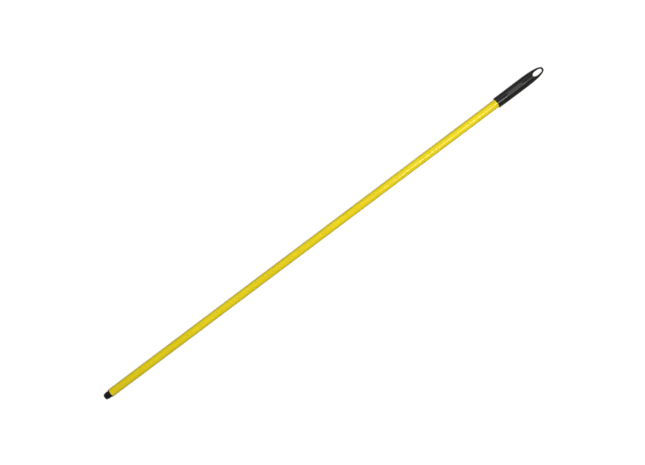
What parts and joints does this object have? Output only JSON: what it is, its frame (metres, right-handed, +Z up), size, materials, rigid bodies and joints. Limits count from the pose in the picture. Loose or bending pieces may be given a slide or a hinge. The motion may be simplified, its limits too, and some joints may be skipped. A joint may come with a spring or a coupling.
{
  "type": "roller extension pole",
  "caption": "Straight extension pole for a paint roller: yellow jacketed steel tube with a black screw tip and a black hang-up grip with a hole through its nose",
  "frame": {"origin": "on the floor under the middle of the pole, which lies flat", "axes": "+X along the pole from the screw tip to the grip, +Z up through the hole in the grip, +Y to the left"},
  "size_m": [1.3716, 0.028, 0.0279],
  "materials": {
    "tube_steel": "cold-rolled, welded and drawn",
    "jacket_yellow": "glossy extruded skin",
    "tip_black": "moulded, satin",
    "grip_black": "moulded, satin, with a stippled pad"
  },
  "bodies": {
    "root": {"steel_tube": "tube_steel", "vinyl_jacket": "jacket_yellow", "threaded_tip": "tip_black", "hang_grip": "grip_black"}
  },
  "joints": []
}
